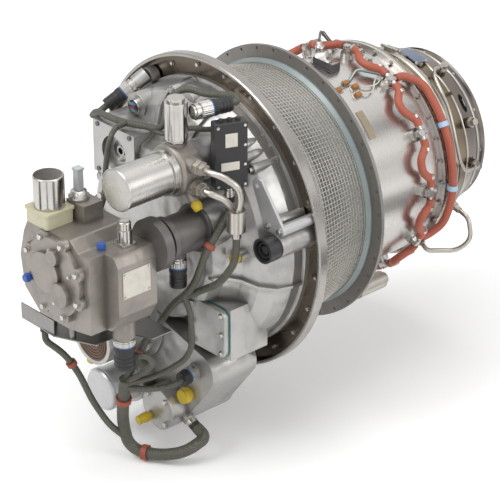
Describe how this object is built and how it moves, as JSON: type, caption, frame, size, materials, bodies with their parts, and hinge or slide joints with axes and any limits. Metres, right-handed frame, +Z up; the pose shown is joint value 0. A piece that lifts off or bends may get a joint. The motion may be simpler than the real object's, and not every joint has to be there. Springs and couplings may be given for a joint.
{
  "type": "turboshaft engine",
  "caption": "Front-drive turboshaft engine with a screened radial inlet, gearbox, fuel control, wiring and exhaust duct.",
  "frame": {"origin": "on the shaft line at the front face of the rear mounting flange", "axes": "+Y along the shaft line towards the exhaust, +Z up, the gearbox end at -Y"},
  "size_m": [0.5399, 0.878, 0.6457],
  "materials": {
    "cast_alloy": "satin paint on a casting",
    "ring_steel": "brushed",
    "pale_band": "satin",
    "screen_wire": "satin",
    "case_steel": "polished",
    "hot_steel": "heat tinted",
    "bright_steel": "polished",
    "impeller_alloy": "machined",
    "control_casting": "anodised",
    "cream_plastic": "satin",
    "gasket_green": "matte",
    "seal_brown": "matte",
    "sight_glass": "glossy",
    "black_plastic": "satin",
    "cap_yellow": "satin",
    "harness_braid": "woven",
    "clamp_rubber": "matte",
    "hose_orange": "satin sleeve"
  },
  "bodies": {
    "engine": {"bleed_valve": "control_casting", "case_bolts": "bright_steel", "casting_bolts": "bright_steel", "combustor_liner": "hot_steel", "diffuser": "case_steel", "drain_tube": "bright_steel", "electronics_box": "black_plastic", "exhaust_duct": "hot_steel", "exhaust_strap": "hot_steel", "filter_bowl": "bright_steel", "filter_head": "control_casting", "fire_seal_ring": "ring_steel", "fuel_control_body": "control_casting", "fuel_control_cover": "control_casting", "fuel_hoses": "hose_orange", "fuel_nozzles": "bright_steel", "fuel_pump": "control_casting", "fuel_tubes": "bright_steel", "gas_generator_case": "case_steel", "gearbox_housing": "cast_alloy", "gearbox_partition": "cast_alloy", "harness_clamps": "clamp_rubber", "harness_tray": "control_casting", "impeller_shroud": "case_steel", "inlet_band": "pale_band", "inlet_housing": "cast_alloy", "inlet_screen": "screen_wire", "lifting_plate": "ring_steel", "oil_filter_cover": "cast_alloy", "output_housing": "cast_alloy", "output_seal": "seal_brown", "plug_backshells": "black_plastic", "plug_shells": "bright_steel", "power_turbine_nozzle": "hot_steel", "pressure_switch": "bright_steel", "protective_caps": "cap_yellow", "rear_mount_flange": "ring_steel", "round_port": "black_plastic", "sensor_can": "bright_steel", "shaft_bearings": "bright_steel", "side_cover": "cast_alloy", "side_cover_gasket": "gasket_green", "sight_glass": "sight_glass", "solenoid_base": "cream_plastic", "solenoid_can": "bright_steel", "turbine_nozzle": "hot_steel", "turbine_support_case": "case_steel", "turning_duct": "hot_steel", "wiring_harness": "harness_braid"},
    "gas_generator": {"gas_generator_shaft": "bright_steel", "compressor_impeller": "impeller_alloy", "compressor_turbine": "hot_steel"},
    "power_spool": {"power_turbine_shaft": "bright_steel", "power_turbine": "hot_steel"},
    "starter_idler": {"starter_idler": "bright_steel"},
    "starter_drive": {"starter_drive": "bright_steel"},
    "pump_idler": {"pump_idler": "bright_steel"},
    "pump_drive": {"pump_drive": "bright_steel"},
    "intermediate_gear": {"intermediate_gear": "bright_steel"},
    "output_shaft": {"output_shaft": "bright_steel"}
  },
  "joints": [
    {"name": "gas_generator_spin", "type": "hinge", "parent": "engine", "child": "gas_generator", "pos_m": [0, 0, 0], "axis": [0, 1, 0], "continuous": true},
    {"name": "power_spool_spin", "type": "hinge", "parent": "engine", "child": "power_spool", "pos_m": [0, 0, 0], "axis": [0, 1, 0], "continuous": true},
    {"name": "starter_idler_spin", "type": "hinge", "parent": "engine", "child": "starter_idler", "pos_m": [-0.03974, 0, 0.06004], "axis": [0, 1, 0], "continuous": true},
    {"name": "starter_drive_spin", "type": "hinge", "parent": "engine", "child": "starter_drive", "pos_m": [-0.07838, 0, 0.11841], "axis": [0, 1, 0], "continuous": true},
    {"name": "pump_idler_spin", "type": "hinge", "parent": "engine", "child": "pump_idler", "pos_m": [0.05762, 0, 0.02786], "axis": [0, 1, 0], "continuous": true},
    {"name": "pump_drive_spin", "type": "hinge", "parent": "engine", "child": "pump_drive", "pos_m": [0.11974, 0, 0.05789], "axis": [0, 1, 0], "continuous": true},
    {"name": "intermediate_gear_spin", "type": "hinge", "parent": "engine", "child": "intermediate_gear", "pos_m": [-0.02463, 0, -0.10104], "axis": [0, 1, 0], "continuous": true},
    {"name": "output_shaft_spin", "type": "hinge", "parent": "engine", "child": "output_shaft", "pos_m": [-0.04287, 0, -0.17585], "axis": [0, 1, 0], "continuous": true}
  ],
  "couplings": [
    {"joint": "starter_idler_spin", "follows": "gas_generator_spin", "ratio": -0.5},
    {"joint": "starter_drive_spin", "follows": "gas_generator_spin", "ratio": 1.0909},
    {"joint": "pump_idler_spin", "follows": "gas_generator_spin", "ratio": -0.6},
    {"joint": "pump_drive_spin", "follows": "gas_generator_spin", "ratio": 0.82759},
    {"joint": "intermediate_gear_spin", "follows": "power_spool_spin", "ratio": -0.2381},
    {"joint": "output_shaft_spin", "follows": "power_spool_spin", "ratio": 0.12138}
  ]
}
